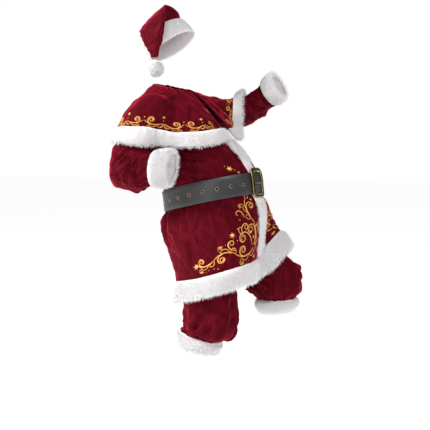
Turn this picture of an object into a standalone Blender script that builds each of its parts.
"""A santa suit in its worn pose: hat, shoulder cape, belted jacket and knee-length trousers.

Metres, +Z up. The front faces -Y and the wearer's right side is -X. The origin is the base of
the neck, where the suit hangs on its wearer. Cloth is a thin wall: every sheet is a grid of
points (rows run down the cloth, columns run round it from the front to the wearer's right)
with a second, inner face a wall below it. Fur trims are closed rolls on the same surfaces.
"""

import math
from typing import NamedTuple

import bmesh
import bpy
import numpy as np
from mathutils import Vector

VELVET = 0.002  # wall of the velvet
VINYL = 0.003  # wall of the belt
SEAM = 0.0003  # gap left at every seam
FUR_OUT = 0.016  # how far the fur stands out of the cloth's outer face
FUR_IN = 0.008  # and how far it stands in
CAPE_LENGTH = 0.335  # neck to the foot of the cape's fur
CAPE_FUR = 0.064
PLACKET_HALF_WIDTH = 0.040
PLACKET_THICK = 0.014
PLACKET_PRESSED = 0.0036  # under the belt and its buckle
PLACKET_PRESS = (0.031, 0.048)  # metres from the belt where the press ends, and fades out
PLACKET_START = 0.16  # just below the neck, as a share of the body's length
PLACKET_LIFT = 0.0012  # its underside over the jacket
BELT_CLEAR = 0.0060  # the belt's inner face over the jacket
BELT_START = 348.0  # where the strap starts, and where its tongue ends after a full turn
BELT_END = -52.0
TONGUE_ROUND = 9.0  # degrees over which the tongue's end narrows
EYELET_STEP = 16.0  # degrees round the belt
EYELET_FIRST = 25.0
EYELET_COUNT = 11
EYELET_SECTION = ((0.0036, 0.0), (0.0038, 0.0012), (0.0060, 0.0012), (0.0068, 0.0))
BUCKLE_WIDTH = 0.094
BUCKLE_HEIGHT = 0.120
BUCKLE_CORNER = 0.016
BUCKLE_BAR = 0.008  # half the width of the frame's bar
BUCKLE_LIFT = 0.0038  # the frame over the belt's outer layer
BUCKLE_SECTION = (
    (-0.0080, 0),
    (-0.0070, 0.0035),
    (-0.0040, 0.0055),
    (0.0000, 0.0042),
    (0.0040, 0.0055),
    (0.0070, 0.0035),
    (0.0080, 0),
)
PRONG_RADIUS = 0.0030
POMPOM = (-0.142, 0.012, 0.138)
POMPOM_RADIUS = 0.036
WAISTBAND_HEIGHT = 0.040
CAPE_CLEAR = 0.020  # the cape's lining over the arms
RISE_GAP = 0.0015  # each trouser leg from the centre plane
BODY_SCALE = (0.34, 1.25)  # length and girth, in metres, that give each piece's folds their scale
CAPE_SCALE = (0.28, 1.45)
SLEEVE_SCALE = (0.46, 0.50)
LEG_SCALE = (0.30, 0.62)


class Girth(NamedTuple):
    """One section across a tube of cloth: its front and back points in the side view."""

    x: float
    front_y: float
    front_z: float
    back_y: float
    back_z: float
    side: float  # half its width
    lean: float = math.nan  # degrees its width leans up; square to the tube where not given


class Fold(NamedTuple):
    """A soft ridge (or a trough, with a negative height) between two places on a surface."""

    along_1: float
    around_1: float
    along_2: float
    around_2: float
    height: float
    width: float  # metres from its crest to where it has mostly died away


class Station(NamedTuple):
    """Where the skirt passes at one angle: the velvet's edge and the foot of the fur."""

    around: float
    edge_x: float
    edge_y: float
    edge_z: float
    foot_x: float
    foot_y: float
    foot_z: float


# The body of the jacket, from the neck to the belt's lower edge. The wearer leans back.
TORSO = (
    Girth(0, -0.078, 0.036, 0.080, 0.074, 0.080),
    Girth(0, -0.090, 0.020, 0.092, 0.052, 0.104),
    Girth(0, -0.102, 0.004, 0.108, 0.026, 0.155),
    Girth(0, -0.124, -0.034, 0.126, -0.018, 0.200),
    Girth(0, -0.200, -0.118, 0.112, -0.142, 0.206),
    Girth(0, -0.296, -0.200, 0.072, -0.240, 0.206),
    Girth(0, -0.350, -0.264, 0.034, -0.334, 0.209),
    Girth(0, -0.370, -0.296, 0.022, -0.383, 0.209),
    Girth(0, -0.384, -0.382, 0.010, -0.469, 0.208),
)
BELT_ROWS = (7, 8)  # the two sections at the belt's edges

# The skirt's hem, round from the front to the wearer's right. The raised left thigh lifts it.
HEM = (
    Station(0, 0, -0.398, -0.640, 0, -0.398, -0.736),
    Station(25, -0.088, -0.410, -0.655, -0.088, -0.402, -0.745),
    Station(50, -0.176, -0.388, -0.668, -0.186, -0.364, -0.763),
    Station(75, -0.226, -0.320, -0.692, -0.232, -0.296, -0.785),
    Station(100, -0.232, -0.230, -0.718, -0.237, -0.217, -0.808),
    Station(130, -0.188, -0.126, -0.740, -0.190, -0.121, -0.824),
    Station(160, -0.095, -0.058, -0.754, -0.098, -0.058, -0.838),
    Station(185, 0.010, -0.038, -0.758, 0.012, -0.040, -0.842),
    Station(215, 0.128, -0.072, -0.745, 0.134, -0.075, -0.828),
    Station(250, 0.230, -0.165, -0.712, 0.242, -0.167, -0.797),
    Station(285, 0.268, -0.288, -0.662, 0.284, -0.294, -0.748),
    Station(310, 0.232, -0.380, -0.594, 0.252, -0.400, -0.674),
    Station(330, 0.138, -0.432, -0.546, 0.148, -0.478, -0.614),
    Station(345, 0.052, -0.416, -0.594, 0.055, -0.448, -0.694),
)

# The cape from the front edge round to the other: a point halfway down, and the fur's foot.
CAPE = (
    Station(6, -0.030, -0.184, -0.048, -0.030, -0.276, -0.152),
    Station(35, -0.120, -0.168, -0.050, -0.152, -0.250, -0.176),
    Station(58, -0.182, -0.102, -0.046, -0.236, -0.170, -0.186),
    Station(78, -0.232, -0.050, -0.034, -0.304, -0.062, -0.176),
    Station(98, -0.262, 0.016, -0.030, -0.336, 0.002, -0.182),
    Station(122, -0.228, 0.086, -0.032, -0.306, 0.092, -0.166),
    Station(150, -0.135, 0.140, -0.030, -0.196, 0.178, -0.158),
    Station(180, 0, 0.154, -0.030, 0, 0.216, -0.152),
    Station(210, 0.140, 0.136, -0.026, 0.196, 0.184, -0.144),
    Station(238, 0.232, 0.070, -0.018, 0.310, 0.086, -0.124),
    Station(258, 0.270, 0.006, -0.010, 0.354, -0.030, -0.112),
    Station(277, 0.276, -0.056, 0.004, 0.356, -0.132, -0.074),
    Station(297, 0.222, -0.098, 0.026, 0.282, -0.196, 0.016),
    Station(317, 0.160, -0.132, 0.000, 0.192, -0.222, -0.082),
    Station(335, 0.104, -0.164, -0.034, 0.126, -0.254, -0.142),
    Station(354, 0.030, -0.184, -0.048, 0.030, -0.276, -0.152),
)
CAPE_NECK = Girth(0, -0.086, 0.046, 0.088, 0.084, 0.088)

SLEEVE_RIGHT = (
    Girth(-0.160, -0.072, -0.066, 0.088, -0.066, 0.080),
    Girth(-0.212, -0.068, -0.108, 0.100, -0.108, 0.082),
    Girth(-0.256, -0.056, -0.156, 0.090, -0.164, 0.078),
    Girth(-0.288, -0.048, -0.186, 0.106, -0.230, 0.076),
    Girth(-0.307, -0.046, -0.198, 0.114, -0.288, 0.076),
    Girth(-0.317, -0.049, -0.205, 0.091, -0.337, 0.076),
    Girth(-0.318, -0.054, -0.209, 0.034, -0.359, 0.074),
    Girth(-0.315, -0.061, -0.212, -0.022, -0.362, 0.070),
    Girth(-0.309, -0.073, -0.214, -0.064, -0.341, 0.061),
    Girth(-0.304, -0.108, -0.212, -0.094, -0.339, 0.062),
    Girth(-0.298, -0.150, -0.207, -0.130, -0.339, 0.066),
)
# In the left arm, which points forward, the front point of a section is its top.
SLEEVE_LEFT = (
    Girth(0.150, 0.002, 0.004, 0.002, -0.122, 0.082),
    Girth(0.214, -0.026, 0.006, -0.034, -0.120, 0.078),
    Girth(0.258, -0.078, -0.002, -0.088, -0.114, 0.070),
    Girth(0.282, -0.134, 0.002, -0.150, -0.108, 0.064),
    Girth(0.290, -0.178, 0.018, -0.202, -0.092, 0.063),
    Girth(0.293, -0.209, 0.042, -0.242, -0.070, 0.062),
    Girth(0.294, -0.244, 0.064, -0.288, -0.041, 0.059),
    Girth(0.294, -0.280, 0.084, -0.330, 0.000, 0.049),
    Girth(0.294, -0.300, 0.104, -0.350, 0.010, 0.054),
    Girth(0.294, -0.324, 0.126, -0.376, 0.025, 0.057),
)
SLEEVE_CUFF_ROWS = 2  # sections of a sleeve that belong to its cuff

LEG_RIGHT = (
    Girth(-0.106, -0.332, -0.735, -0.108, -0.745, 0.092),
    Girth(-0.109, -0.336, -0.800, -0.106, -0.812, 0.093),
    Girth(-0.112, -0.341, -0.870, -0.118, -0.872, 0.095),
    Girth(-0.114, -0.338, -0.930, -0.121, -0.914, 0.096),
    Girth(-0.115, -0.316, -0.980, -0.112, -0.936, 0.094),
    Girth(-0.116, -0.274, -0.996, -0.098, -0.948, 0.078),
    Girth(-0.117, -0.262, -1.016, -0.096, -0.976, 0.080),
    Girth(-0.118, -0.250, -1.040, -0.104, -1.006, 0.076),
)
LEG_LEFT = (
    Girth(0.122, -0.348, -0.560, -0.244, -0.742, 0.096),
    Girth(0.140, -0.400, -0.604, -0.280, -0.765, 0.096),
    Girth(0.150, -0.458, -0.660, -0.290, -0.782, 0.097),
    Girth(0.156, -0.506, -0.706, -0.286, -0.794, 0.098),
    Girth(0.158, -0.522, -0.758, -0.288, -0.806, 0.098),
    Girth(0.160, -0.518, -0.808, -0.304, -0.822, 0.096),
    Girth(0.161, -0.492, -0.834, -0.336, -0.838, 0.074),
    Girth(0.162, -0.492, -0.856, -0.330, -0.860, 0.078),
    Girth(0.163, -0.468, -0.884, -0.342, -0.888, 0.068),
)
LEG_CUFF_ROWS = 2
WAIST = Girth(0, -0.362, -0.392, -0.018, -0.450, 0.186)
RISE = (  # the centre seam of the trousers, front waist to back waist
    (-0.362, -0.392),
    (-0.352, -0.480),
    (-0.318, -0.570),
    (-0.250, -0.636),
    (-0.160, -0.660),
    (-0.070, -0.640),
    (-0.014, -0.560),
    (-0.018, -0.450),
)

HAT_BAND = (
    Girth(0, -0.078, 0.300, 0.100, 0.184, 0.088),
    Girth(0, -0.022, 0.356, 0.140, 0.254, 0.088),
)
HAT_BAND_THICK = 0.010
# The crown rises over the head, then folds over to the right, where its point hangs.
HAT_CROWN = (
    Girth(0.000, -0.019, 0.3605, 0.141, 0.259, 0.082, 0),
    Girth(-0.002, -0.012, 0.383, 0.145, 0.276, 0.077, 12),
    Girth(-0.022, 0.002, 0.401, 0.143, 0.289, 0.060, 28),
    Girth(-0.047, 0.013, 0.409, 0.136, 0.296, 0.039, 42),
    Girth(-0.071, 0.006, 0.402, 0.127, 0.299, 0.025, 56),
    Girth(-0.095, -0.010, 0.385, 0.116, 0.299, 0.018, 78),
    Girth(-0.116, -0.021, 0.361, 0.102, 0.288, 0.016, 135),
    Girth(-0.131, -0.024, 0.316, 0.084, 0.262, 0.015, 180),
    Girth(-0.138, -0.016, 0.266, 0.062, 0.230, 0.014, 180),
    Girth(-0.142, -0.005, 0.214, 0.042, 0.204, 0.013, 180),
    Girth(-0.142, 0.002, 0.186, 0.031, 0.184, 0.010, 180),
)

BODY_FOLDS = (
    Fold(1.00, 55, 1.80, 62, 0.005, 0.030),
    Fold(1.00, 84, 1.95, 92, 0.006, 0.032),
    Fold(1.00, 118, 1.90, 112, 0.009, 0.034),
    Fold(1.00, 150, 1.95, 140, 0.009, 0.036),
    Fold(1.00, 182, 1.90, 176, 0.009, 0.036),
    Fold(1.00, 214, 1.95, 222, 0.009, 0.036),
    Fold(1.00, 246, 1.80, 254, 0.008, 0.034),
    Fold(1.00, 280, 1.90, 290, 0.007, 0.032),
    Fold(1.00, 312, 1.60, 322, 0.006, 0.030),
    Fold(1.05, 330, 1.90, 338, -0.006, 0.026),
    Fold(0.56, 20, 0.76, 78, 0.006, 0.016),
    Fold(0.64, 26, 0.82, 84, 0.005, 0.014),
    Fold(0.56, 340, 0.76, 282, 0.006, 0.016),
    Fold(0.64, 334, 0.82, 276, 0.005, 0.014),
    Fold(0.50, 120, 0.82, 132, 0.008, 0.024),
    Fold(0.46, 178, 0.82, 166, 0.008, 0.026),
    Fold(0.50, 236, 0.82, 214, 0.008, 0.024),
)
CAPE_FOLDS = (
    Fold(0.25, 60, 2.00, 63, -0.008, 0.028),
    Fold(0.40, 112, 1.95, 118, -0.007, 0.026),
    Fold(0.40, 140, 1.95, 138, 0.006, 0.026),
    Fold(0.40, 166, 1.95, 168, -0.007, 0.026),
    Fold(0.40, 196, 1.95, 194, 0.006, 0.026),
    Fold(0.40, 224, 1.95, 226, -0.007, 0.026),
    Fold(0.40, 322, 1.95, 324, -0.006, 0.022),
    Fold(0.40, 30, 1.95, 28, 0.005, 0.024),
)
SLEEVE_RIGHT_FOLDS = (
    Fold(0.52, 305, 0.40, 130, 0.009, 0.020),
    Fold(0.61, 300, 0.54, 140, 0.009, 0.020),
    Fold(0.70, 305, 0.68, 150, 0.009, 0.018),
    Fold(0.46, 48, 0.34, 240, 0.008, 0.020),
    Fold(0.62, 50, 0.56, 235, 0.008, 0.020),
)
SLEEVE_LEFT_FOLDS = (
    Fold(0.50, 340, 0.60, 170, 0.008, 0.018),
    Fold(0.64, 330, 0.74, 170, 0.009, 0.017),
    Fold(0.76, 330, 0.86, 170, 0.008, 0.015),
    Fold(0.58, 30, 0.70, 190, 0.008, 0.017),
    Fold(0.74, 30, 0.84, 190, 0.007, 0.015),
)
LEG_RIGHT_FOLDS = (
    Fold(1.06, 60, 1.68, 52, 0.010, 0.019),
    Fold(1.04, 92, 1.62, 100, 0.011, 0.019),
    Fold(1.10, 24, 1.70, 16, 0.008, 0.019),
    Fold(1.30, 150, 1.64, 112, 0.010, 0.014),
    Fold(1.40, 172, 1.72, 132, 0.009, 0.013),
    Fold(1.10, 250, 1.70, 262, 0.007, 0.018),
    Fold(1.10, 300, 1.70, 310, 0.007, 0.018),
)
LEG_LEFT_FOLDS = (
    Fold(1.22, 60, 1.62, 78, 0.009, 0.019),
    Fold(1.20, 110, 1.64, 104, 0.009, 0.018),
    Fold(1.34, 152, 1.54, 100, 0.009, 0.014),
    Fold(1.46, 172, 1.64, 120, 0.008, 0.013),
    Fold(1.24, 240, 1.64, 262, 0.008, 0.018),
    Fold(1.22, 318, 1.62, 316, 0.008, 0.018),
)


# ---- curves and surfaces ---------------------------------------------------------------


def smooth(knots, values, at):
    """Reads, at the places `at`, a smooth curve through values[i] at knots[i]."""
    knots = np.asarray(knots, float)
    values = np.asarray(values, float)
    slopes = np.gradient(values, knots, axis=0)
    held = np.clip(at, knots[0], knots[-1])
    i = np.clip(np.searchsorted(knots, held, side="right") - 1, 0, len(knots) - 2)
    width = (knots[i + 1] - knots[i])[..., None]
    s = (held - knots[i])[..., None] / width
    curve = (
        values[i] * (1 + 2 * s) * (1 - s) ** 2
        + values[i + 1] * s * s * (3 - 2 * s)
        + slopes[i] * width * s * (1 - s) ** 2
        - slopes[i + 1] * width * s * s * (1 - s)
    )
    beyond = (at - held)[..., None]
    return curve + np.where(beyond < 0, slopes[0], slopes[-1]) * beyond


def unit(vectors):
    return vectors / np.maximum(np.linalg.norm(vectors, axis=-1, keepdims=True), 1e-12)


def tube(rows):
    """A surface through the sections: along runs 0 to 1 down them, around is in degrees."""
    table = np.array(rows, float)
    middle = np.column_stack(
        (table[:, 0], (table[:, 1] + table[:, 3]) / 2, (table[:, 2] + table[:, 4]) / 2)
    )
    steps = np.linalg.norm(np.diff(table[:, 1:3], axis=0), axis=1)
    steps += np.linalg.norm(np.diff(table[:, 3:5], axis=0), axis=1)
    steps += np.linalg.norm(np.diff(middle, axis=0), axis=1)
    knots = np.concatenate(((0,), np.cumsum(steps) / steps.sum()))
    front = np.zeros_like(middle)
    front[:, 1:] = (table[:, 1:3] - table[:, 3:5]) / 2
    heading = unit(np.gradient(middle, knots, axis=0))
    level = np.array((1.0, 0, 0))
    lean = np.radians(table[:, 6:7])
    leant = np.cos(lean) * level + np.sin(lean) * unit(np.cross(front, level))
    sideways = np.where(np.isnan(lean), unit(np.cross(heading, front)), leant) * table[:, 5:6]
    columns = np.hstack((middle, front, sideways))

    def surface(along, around):
        along, around = np.broadcast_arrays(along, around)
        read = smooth(knots, columns, along)
        turn = np.radians(around)[..., None]
        return read[..., :3] + np.cos(turn) * read[..., 3:6] + np.sin(turn) * read[..., 6:]

    surface.knots = knots
    return surface


def normals(surface, along, around):
    """Unit vectors out of a surface."""
    down = surface(along + 0.004, around) - surface(along - 0.004, around)
    across = surface(along, around + 1.0) - surface(along, around - 1.0)
    return unit(np.cross(across, down))


def raised(surface, along, around, height):
    """Points of a surface, moved out by a height."""
    along, around, height = np.broadcast_arrays(along, around, height)
    return surface(along, around) + normals(surface, along, around) * height[..., None]


def folded(base, folds, length, girth):
    """The surface with its folds. Length and girth, in metres, give the folds' scale."""
    rows = np.array(folds, float)

    def surface(along, around):
        along, around = np.broadcast_arrays(along, around)
        height = np.zeros(along.shape)
        for along_1, around_1, along_2, around_2, depth, width in rows:
            start = np.array((along_1 * length, around_1 / 360 * girth))
            run = np.array((along_2 * length, around_2 / 360 * girth)) - start
            for turn in (-girth, 0, girth):
                place = np.stack((along * length, around / 360 * girth + turn), -1) - start
                share = np.clip(place @ run / (run @ run), 0, 1)
                away = np.linalg.norm(place - share[..., None] * run, axis=-1)
                taper = 1 - np.abs(2 * share - 1) ** 4
                height += depth * taper * np.exp(-((away / width) ** 2))
        return raised(base, along, around, height)

    return surface


def gathered(base, start, end, count, height):
    """The surface with gathers that grow from start to end, as at an elastic or a cuff."""

    def surface(along, around):
        along, around = np.broadcast_arrays(along, around)
        share = np.clip((along - start) / (end - start), 0, 1)
        share = share * share * (3 - 2 * share)
        wave = np.cos(np.radians(around) * count + 1.7 * np.sin(np.radians(around) * 3))
        return raised(base, along, around, height * share * wave)

    return surface


def limb(rows, first, last, clear):
    """The stretches of a tube as (start, end, radius, radius), each radius with a clearance."""
    table = np.array(rows[first:last], float)
    middle = np.column_stack(
        (table[:, 0], (table[:, 1] + table[:, 3]) / 2, (table[:, 2] + table[:, 4]) / 2)
    )
    half = np.hypot(table[:, 1] - table[:, 3], table[:, 2] - table[:, 4]) / 2
    radius = (half + table[:, 5]) / 2 + clear
    return list(zip(middle, middle[1:], radius, radius[1:]))


def pushed(base, stretches):
    """The surface, moved out to clear each of the stretches of a limb."""

    def surface(along, around):
        points = base(along, around)
        for start, end, radius_1, radius_2 in stretches:
            run = end - start
            share = np.clip((points - start) @ run / (run @ run), 0, 1)[..., None]
            away = points - start - share * run
            gap = np.linalg.norm(away, axis=-1, keepdims=True)
            short = radius_1 + share * (radius_2 - radius_1) - gap
            points = points + unit(away) * np.maximum(short, 0)
        return points

    return surface


def hermite(start, end, leave, arrive, share):
    """A curve from start to end that leaves and arrives along the two given vectors."""
    s = share[..., None]
    return (
        start * (1 + 2 * s) * (1 - s) ** 2
        + end * s * s * (3 - 2 * s)
        + leave * s * (1 - s) ** 2
        - arrive * s * s * (1 - s)
    )


def around_table(rows, columns):
    """Reads columns of a Station table at any angle, smoothly and all the way round."""
    table = np.array(rows, float)
    turns = np.concatenate((table[-3:] - (360, *(0,) * 6), table, table[:3] + (360, *(0,) * 6)))
    return lambda around: smooth(turns[:, 0], turns[:, columns], np.mod(around, 360))


# ---- the garment's surfaces ------------------------------------------------------------

torso = tube(TORSO)
BELT_TOP, BELT_FOOT = (float(torso.knots[row]) for row in BELT_ROWS)
BELT_MIDDLE = (BELT_TOP + BELT_FOOT) / 2
hem_edge = around_table(HEM, slice(1, 4))
hem_foot = around_table(HEM, slice(4, 7))


def plain_body(along, around):
    """The jacket's outer face: 0 to 1 is neck to belt, to 2 the skirt, to 3 the hem's fur."""
    along, around = np.broadcast_arrays(along, around)
    above = torso(np.minimum(along, 1), around)
    belt = torso(np.ones_like(along), around)
    down = belt - torso(np.full_like(along, 0.99), around)
    edge = hem_edge(around)
    foot = hem_foot(around)
    reach = np.linalg.norm(edge - belt, axis=-1, keepdims=True)
    leave = unit(unit(down) + 0.55 * normals(torso, np.full_like(along, 0.99), around)) * reach
    skirt = hermite(belt, edge, leave, unit(foot - edge) * reach, np.clip(along - 1, 0, 1))
    fur = edge + (foot - edge) * (along - 2)[..., None]
    return np.where(along[..., None] <= 1, above, np.where(along[..., None] <= 2, skirt, fur))


body = folded(plain_body, BODY_FOLDS, *BODY_SCALE)
cape_neck = tube((CAPE_NECK, CAPE_NECK._replace(front_z=0.0, back_z=0.04)))
cape_middle = around_table(CAPE, slice(1, 4))
cape_foot = around_table(CAPE, slice(4, 7))


def plain_cape(along, around):
    """The cape's outer face: 0 to 1 is its velvet and 1 to 2 its fur."""
    along, around = np.broadcast_arrays(along, around)
    velvet = 1 - CAPE_FUR / CAPE_LENGTH
    s = np.where(along < 1, along * velvet, velvet + (along - 1) * (1 - velvet))[..., None]
    neck = cape_neck(np.zeros_like(along), around)
    middle = cape_middle(around)
    foot = cape_foot(around)
    return neck * (1 - 2 * s) * (1 - s) + middle * 4 * s * (1 - s) + foot * s * (2 * s - 1)


arms = limb(SLEEVE_RIGHT, 0, 5, CAPE_CLEAR) + limb(SLEEVE_LEFT, 0, 6, CAPE_CLEAR)
cape = pushed(folded(plain_cape, CAPE_FOLDS, *CAPE_SCALE), arms)


def leg_surface(rows):
    """A right trouser leg: 0 to 1 is from its waist and centre seam to the thigh, 1 to 2 below.

    Round it, 0 to 180 starts at the front of the waist and ends at its back, and 180 to 360
    comes back along the centre seam.
    """
    lower = tube(rows)
    waist = tube((WAIST, WAIST._replace(front_z=WAIST.front_z - 0.05)))
    seam = np.array(RISE[::-1])
    steps = np.concatenate(((0,), np.cumsum(np.linalg.norm(np.diff(seam, axis=0), axis=1))))

    def surface(along, around):
        along, around = np.broadcast_arrays(along, np.mod(around, 360))
        outside = (around <= 180)[..., None]
        belt = waist(np.zeros_like(along), np.minimum(around, 180))
        across = smooth(steps / steps[-1], seam, np.clip(around / 180 - 1, 0, 1))
        centre = np.concatenate((np.zeros_like(across[..., :1]), across), -1)
        top = np.where(outside, belt, centre)
        top[..., 0] = np.minimum(top[..., 0], -RISE_GAP)
        angle = np.where(around <= 180, around / 180 * 276 - 48, 228 + (around / 180 - 1) * 84)
        thigh = lower(np.zeros_like(along), angle)
        reach = np.linalg.norm(thigh - top, axis=-1, keepdims=True)
        corner = np.minimum(np.abs(around - 180), np.minimum(around, 360 - around))
        crotch = np.clip(1 - np.abs(around - 270) / 90, 0, 1)
        seam_spread = np.where(around > 180, 0.45 + 0.75 * crotch**2, 0)
        spread = np.maximum(np.exp(-((corner / 12) ** 2)), seam_spread)
        leave = unit(np.stack((-spread, 0 * spread, 0.2 * crotch - 1), -1))
        arrive = unit(lower(np.full_like(along, 0.03), angle) - thigh)
        upper = hermite(top, thigh, leave * reach, 0.45 * arrive * reach, np.clip(along, 0, 1))
        below = lower(np.clip(along - 1, 0, None), angle)
        return np.where(along[..., None] <= 1, upper, below)

    return surface, lower


def mirrored(surface):
    """The surface seen in a mirror, for the wearer's left side."""
    return lambda along, around: surface(along, np.mod(-np.asarray(around), 360)) * (-1, 1, 1)


# ---- meshes ----------------------------------------------------------------------------


def material(name, colour, roughness, metallic=0.0):
    made = bpy.data.materials.get(name)
    if made is None:
        made = bpy.data.materials.new(name)
        made.use_nodes = True
        shader = made.node_tree.nodes["Principled BSDF"]
        shader.inputs["Base Color"].default_value = (*colour, 1)
        shader.inputs["Roughness"].default_value = roughness
        shader.inputs["Metallic"].default_value = metallic
    return made


def velvet():
    return material("crimson_velvet", (0.13, 0.006, 0.014), 0.75)


def plush():
    return material("white_plush", (0.85, 0.84, 0.85), 0.9)


def add_object(name, points, faces, finish):
    mesh = bpy.data.meshes.new(name)
    mesh.from_pydata([tuple(point) for point in points], [], faces)
    mesh.update()
    mesh.shade_smooth()
    mesh.materials.append(finish)
    obj = bpy.data.objects.new(name, mesh)
    bpy.context.scene.collection.objects.link(obj)
    return obj


def grid_faces(rows, columns, closed):
    """Triangles of a grid whose rows run down and whose columns run round, facing out."""
    faces = []
    for row in range(rows - 1):
        for column in range(columns if closed else columns - 1):
            right = (column + 1) % columns
            upper, lower = row * columns, (row + 1) * columns
            faces.append((upper + column, upper + right, lower + right))
            faces.append((upper + column, lower + right, lower + column))
    return faces


def sheet(name, surface, along, around, closed=False, wall=VELVET, finish=None):
    """A cloth wall: its outer face lies on the surface and its inner face a wall below."""
    places = np.meshgrid(np.asarray(along, float), np.asarray(around, float), indexing="ij")
    outer = surface(*places)
    inner = raised(surface, *places, -wall)
    rows, columns = outer.shape[:2]
    size = rows * columns
    front = grid_faces(rows, columns, closed)
    faces = front + [tuple(size + corner for corner in face[::-1]) for face in front]
    top = list(range(columns))
    foot = [size - columns + column for column in range(columns)]
    if closed:
        faces += edge_faces(top + top[:1], size) + edge_faces((foot + foot[:1])[::-1], size)
    else:
        right = [row * columns + columns - 1 for row in range(rows)]
        left = [row * columns for row in range(rows)]
        faces += edge_faces(top + right[1:] + foot[::-1][1:] + left[::-1][1:], size)
    points = np.concatenate((outer.reshape(-1, 3), inner.reshape(-1, 3)))
    return add_object(name, points, faces, finish or velvet())


def edge_faces(loop, size):
    """The rim that joins a sheet's two faces along a run of outer points."""
    return [(b, a, a + size, b + size) for a, b in zip(loop, loop[1:])]


def roll(name, rings, closed, finish):
    """A closed solid through rings of points, each ring going round its section."""
    rings = np.asarray(rings, float)
    count, size = rings.shape[:2]
    faces = []
    for ring in range(count if closed else count - 1):
        after = (ring + 1) % count
        for side in range(size):
            right = (side + 1) % size
            faces.append(
                (ring * size + side, ring * size + right, after * size + right, after * size + side)
            )
    if not closed:
        faces.append(tuple(range(size))[::-1])
        faces.append(tuple((count - 1) * size + side for side in range(size)))
    obj = add_object(name, rings.reshape(-1, 3), faces, finish)
    shape = bmesh.new()
    shape.from_mesh(obj.data)
    bmesh.ops.recalc_face_normals(shape, faces=shape.faces)
    shape.to_mesh(obj.data)
    shape.free()
    return obj


def fur_section(start, end):
    """Where a fur trim's section passes: (along, height) round it, from its upper edge."""
    places = (
        (0.00, 0.35, 1),
        (0.14, 0.86, 1),
        (0.50, 1.00, 1),
        (0.86, 0.86, 1),
        (1.00, 0.30, 1),
        (1.00, 0.40, -1),
        (0.80, 1.00, -1),
        (0.22, 1.00, -1),
        (0.00, 0.70, -1),
    )
    section = []
    for share, height, side in places:
        rise = FUR_OUT * height if side > 0 else -FUR_IN * height
        section.append((start + (end - start) * share, rise))
    return section


def fur_trim(name, surface, start, end, around, closed=True, scale=1.0):
    """A roll of plush that carries on from a sheet's edge over the given stretch."""
    places = fur_section(start, end)
    rings = []
    for angle in around:
        along = np.array([place[0] for place in places])
        height = np.array([place[1] for place in places]) * scale
        rings.append(raised(surface, along, np.full_like(along, angle), height))
    return roll(name, rings, closed, plush())


def turns(count, start=0.0, end=360.0):
    """Angles evenly round, the last left out where it closes a ring."""
    return np.linspace(start, end, count, endpoint=end - start < 360)


def filled(name, surface, along, around, height):
    """A hidden closed solid inside or outside a tube's surface, used to cut other pieces."""
    places = np.meshgrid(np.asarray(along, float), np.asarray(around, float), indexing="ij")
    rings = raised(surface, *places, height)
    tool = roll(name, rings, False, velvet())
    tool.hide_render = True
    tool.display_type = "WIRE"
    return tool


def cut(obj, tool):
    boolean = obj.modifiers.new("cut_" + tool.name, "BOOLEAN")
    boolean.operation = "DIFFERENCE"
    boolean.solver = "EXACT"
    boolean.object = tool


# ---- pieces ----------------------------------------------------------------------------


def sleeve(name, rows, folds):
    """A sleeve, its fur cuff, and the tool that cuts its armhole."""
    base = tube(rows)
    edge = float(base.knots[len(rows) - 1 - SLEEVE_CUFF_ROWS])
    cloth = gathered(folded(base, folds, *SLEEVE_SCALE), edge - 0.10, edge, 11, 0.0035)
    made = sheet("sleeve_" + name, cloth, np.linspace(0, edge - 0.005, 16), turns(18), True)
    fur_trim("cuff_" + name, base, edge, 1.0, turns(18))
    tool = filled("armhole_" + name, base, np.linspace(0, 0.30, 5), turns(18), -2 * VELVET)
    return made, tool


def body_rows():
    """Where the jacket's rows of points lie, with a row at each edge of the belt."""
    above = np.linspace(0, BELT_TOP, 12)
    return np.concatenate((above, (BELT_MIDDLE,), np.linspace(1, 1.996, 9)))


FRONT_RIGHT = np.linspace(0.1, 89.95, 10)
BACK = np.linspace(90.05, 269.95, 19)
FRONT_LEFT = np.linspace(270.05, 359.9, 10)


def jacket():
    rows = body_rows()
    fur_trim("hem_fur", plain_body, 2.0, 3.0, turns(36))
    return [
        sheet("jacket_front_right", body, rows, FRONT_RIGHT),
        sheet("jacket_back", body, rows, BACK),
        sheet("jacket_front_left", body, rows, FRONT_LEFT),
    ]


def torso_plug():
    """A hidden solid a seam's width outside the torso, which trims the sleeves' heads."""
    rows = body_rows()
    around = np.concatenate((FRONT_RIGHT, BACK, FRONT_LEFT))
    return filled("torso_plug", body, rows[rows <= 1], around, 4 * SEAM)


def placket():
    """The strip of fur down the closed front, pressed flat where the belt crosses it."""
    across = np.array((-1, -0.72, 0, 0.72, 1, 0.8, 0, -0.8))
    height = np.array((0.25, 0.9, 1, 0.9, 0.25, 0, 0, 0))
    places = np.concatenate(
        (
            np.linspace(PLACKET_START, BELT_TOP - 0.16, 6),
            (BELT_TOP - 0.11, BELT_TOP - 0.06, BELT_TOP, BELT_MIDDLE, 1.0, 1.06, 1.12),
            np.linspace(1.2, 1.96, 7),
        )
    )
    rings = []
    for along in places:
        outside = max(BELT_TOP - along, along - 1) * BODY_SCALE[0]
        free = np.interp(outside, PLACKET_PRESS, (0, 1))
        thick = PLACKET_PRESSED + (PLACKET_THICK - PLACKET_PRESSED) * free
        radius = np.linalg.norm(body(along, 90.0) - body(along, 270.0)) / 2
        angle = np.degrees(across * PLACKET_HALF_WIDTH / radius)
        rings.append(raised(body, along, angle, PLACKET_LIFT + thick * height))
    roll("front_placket", rings, False, plush())


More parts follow.
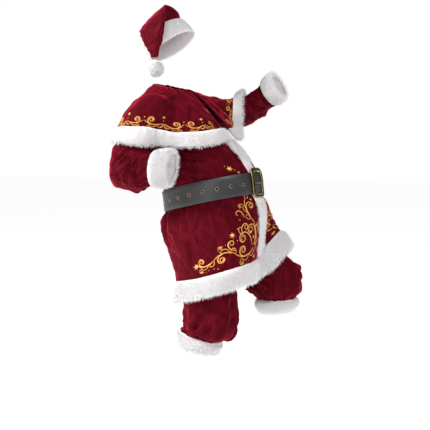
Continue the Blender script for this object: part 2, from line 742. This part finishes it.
def belt():
    strap = material("black_vinyl", (0.035, 0.035, 0.038), 0.42)
    brass = material("antique_brass", (0.30, 0.22, 0.10), 0.4, 1.0)
    copper = material("copper_gold", (0.55, 0.32, 0.15), 0.35, 1.0)
    rings = []
    for angle in np.linspace(BELT_START, BELT_END, 45):
        over = np.clip((12 - angle) / 18, 0, 1)
        inner = BELT_CLEAR + over * (VINYL + 0.001)
        tip = np.clip((angle - BELT_END) / TONGUE_ROUND, 0, 1)
        half = 0.5 * (1 - 0.55 * (1 - math.sqrt(1 - (1 - tip) ** 2)))
        spread = (BELT_FOOT - BELT_TOP) * half
        along = BELT_MIDDLE + spread * np.array((-1, 0, 1, 1, 0, -1))
        height = inner + VINYL * np.array((1, 1, 1, 0, 0, 0))
        rings.append(raised(torso, along, angle, height))
    roll("belt_strap", rings, False, strap)
    for number in range(EYELET_COUNT):
        angle = EYELET_FIRST + EYELET_STEP * number
        eyelet(f"belt_eyelet_{number + 1:02d}", BELT_MIDDLE, angle, copper)
    buckle(brass)


def frame_at(along, angle, height):
    """A place on the belt: its point, and the directions round, down and out."""
    point = raised(torso, along, angle, height)
    out = normals(torso, along, angle)
    down = unit(torso(along + 0.01, angle) - torso(along - 0.01, angle))
    return point, np.cross(down, out), down, out


def eyelet(name, along, angle, finish):
    point, across, down, out = frame_at(along, angle, BELT_CLEAR + VINYL + SEAM)
    rings = []
    for turn in np.radians(turns(8)):
        spoke = math.cos(turn) * across + math.sin(turn) * down
        rings.append([point + spoke * radius + out * rise for radius, rise in EYELET_SECTION])
    roll(name, rings, True, finish)


def buckle(finish):
    """A rectangular frame with rounded corners, bent to the belt, and its prong."""
    reach = np.linalg.norm(torso(BELT_MIDDLE, 90.0) - torso(BELT_MIDDLE, 270.0)) / 2
    length = np.linalg.norm(torso(BELT_FOOT, 0.0) - torso(BELT_TOP, 0.0))
    half_width = BUCKLE_WIDTH / 2 - BUCKLE_BAR - BUCKLE_CORNER
    half_height = BUCKLE_HEIGHT / 2 - BUCKLE_BAR - BUCKLE_CORNER
    turn = np.radians(np.arange(0, 360, 15) + 7.5)
    across = np.copysign(half_width, np.cos(turn)) + BUCKLE_CORNER * np.cos(turn)
    down = np.copysign(half_height, np.sin(turn)) + BUCKLE_CORNER * np.sin(turn)
    path = np.column_stack((across, down))
    run = unit(np.roll(path, -1, axis=0) - np.roll(path, 1, axis=0))
    spokes = np.column_stack((run[:, 1], -run[:, 0]))
    base = BELT_CLEAR + 2 * VINYL + BUCKLE_LIFT
    rings = []
    for place, spoke in zip(path, spokes):
        ring = []
        for offset, rise in BUCKLE_SECTION:
            across, down = place + spoke * offset
            along = BELT_MIDDLE + down / length * (BELT_FOOT - BELT_TOP)
            ring.append(raised(torso, along, math.degrees(across / reach), base + rise))
        rings.append(ring)
    roll("belt_buckle", rings, True, finish)
    rings = []
    prong_reach = BUCKLE_WIDTH / 2 - BUCKLE_BAR - 0.011
    for across in np.linspace(-prong_reach, prong_reach, 5):
        angle = math.degrees(across / reach)
        point, _, down, out = frame_at(BELT_MIDDLE, angle, base + 0.0034)
        section = []
        for turn in np.radians(turns(6)):
            section.append(point + PRONG_RADIUS * (math.cos(turn) * down + 0.73 * math.sin(turn) * out))
        rings.append(section)
    roll("belt_prong", rings, False, finish)


def cape_piece():
    around = np.linspace(6, 354, 37)
    sheet("cape", cape, np.linspace(0, 0.995, 8), around)
    fur_trim("cape_fur", cape, 1.0, 2.0, np.linspace(6, 354, 37), closed=False, scale=0.9)


def trousers():
    left = [row._replace(x=-row.x) for row in LEG_LEFT]
    for name, rows, folds, turned in (
        ("right", LEG_RIGHT, LEG_RIGHT_FOLDS, lambda surface: surface),
        ("left", left, LEG_LEFT_FOLDS, mirrored),
    ):
        base, lower = leg_surface(rows)
        share = float(lower.knots[len(rows) - 1 - LEG_CUFF_ROWS])
        cloth = folded(base, folds, *LEG_SCALE)
        cloth = turned(gathered(cloth, 1 + share - 0.20, 1 + share, 12, 0.004))
        along = np.concatenate((np.linspace(0, 0.8, 5), np.linspace(1, 1 + share - 0.005, 11)))
        sheet("trouser_" + name, cloth, along, turns(20), True)
        fur_trim("knee_cuff_" + name, turned(lower), share, 1.0, turns(18))
    band = tube(
        [
            WAIST._replace(front_z=WAIST.front_z + rise, back_z=WAIST.back_z + rise)
            for rise in (WAISTBAND_HEIGHT, SEAM * 4)
        ]
    )
    sheet("trouser_waistband", band, (0, 1), turns(28), True, wall=1.5 * VELVET)


def hat():
    sheet("hat_crown", tube(HAT_CROWN), np.linspace(0, 1, 17), turns(20), True)
    band = tube(HAT_BAND)
    section = (
        (0.00, 0.2),
        (0.10, 0.9),
        (0.50, 1.0),
        (0.90, 0.9),
        (1.00, 0.2),
        (1.00, 0.0),
        (0.50, -0.3),
        (0.00, 0.0),
    )
    along, height = np.array(section).T
    rings = [raised(band, along, angle, height * HAT_BAND_THICK) for angle in turns(26)]
    roll("hat_band", rings, True, plush())


def pompom():
    """A ball of plush with a slightly uneven face."""
    shape = bmesh.new()
    bmesh.ops.create_icosphere(shape, subdivisions=3, radius=POMPOM_RADIUS)
    for vertex in shape.verts:
        way = vertex.co.normalized()
        lump = math.sin(9 * way.x + 2) * math.sin(8 * way.y) + math.sin(10 * way.z + 1)
        vertex.co = Vector(POMPOM) + way * (POMPOM_RADIUS - 0.0025 + 0.0013 * lump)
    mesh = bpy.data.meshes.new("hat_pompom")
    shape.to_mesh(mesh)
    shape.free()
    mesh.shade_smooth()
    mesh.materials.append(plush())
    bpy.context.scene.collection.objects.link(bpy.data.objects.new("hat_pompom", mesh))


def main():
    for obj in list(bpy.data.objects):
        bpy.data.objects.remove(obj, do_unlink=True)
    panels = jacket()
    plug = torso_plug()
    for name, rows, folds in (
        ("right", SLEEVE_RIGHT, SLEEVE_RIGHT_FOLDS),
        ("left", SLEEVE_LEFT, SLEEVE_LEFT_FOLDS),
    ):
        made, tool = sleeve(name, rows, folds)
        cut(made, plug)
        for panel in panels:
            cut(panel, tool)
    placket()
    belt()
    cape_piece()
    trousers()
    hat()
    pompom()


main()
